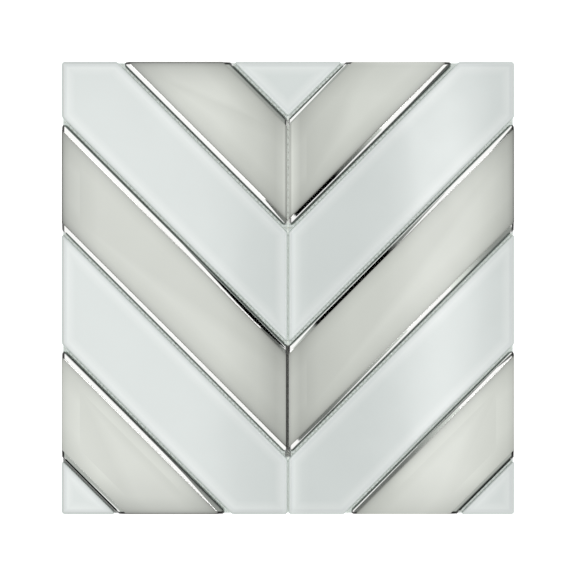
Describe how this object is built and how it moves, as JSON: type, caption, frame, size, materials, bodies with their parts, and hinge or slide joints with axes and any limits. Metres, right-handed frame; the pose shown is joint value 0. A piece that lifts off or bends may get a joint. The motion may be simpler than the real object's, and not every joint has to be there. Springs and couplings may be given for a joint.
{
  "type": "chevron mosaic wall tile",
  "caption": "Square mosaic sheet of glass chips in a V pattern: white chips and metal-edged beige chips, held face up on an open mesh backing.",
  "frame": {"origin": "middle of the sheet's square outline, on the underside of the mesh backing", "axes": "+Z out of the tile's face, +Y towards the top of the pattern so that the V shapes point to -Y, +X to the right as the face is looked at"},
  "size_m": [0.2994, 0.2994, 0.0084],
  "materials": {
    "white_glass": "polished, white behind the glass",
    "beige_glass": "polished, beige behind the glass, rounded long edges plated with bright metal",
    "mesh_thread": "coated glass-fibre thread"
  },
  "bodies": {
    "root": {"white_chip_top_triangle": "white_glass", "plated_chip_top_left": "beige_glass", "plated_chip_top_right": "beige_glass", "white_chip_upper_left": "white_glass", "white_chip_upper_right": "white_glass", "plated_chip_middle_left": "beige_glass", "plated_chip_middle_right": "beige_glass", "white_chip_lower_left": "white_glass", "white_chip_lower_right": "white_glass", "plated_chip_bottom_left": "beige_glass", "plated_chip_bottom_right": "beige_glass", "white_chip_corner_left": "white_glass", "white_chip_corner_right": "white_glass", "backing_mesh": "mesh_thread"}
  },
  "joints": []
}
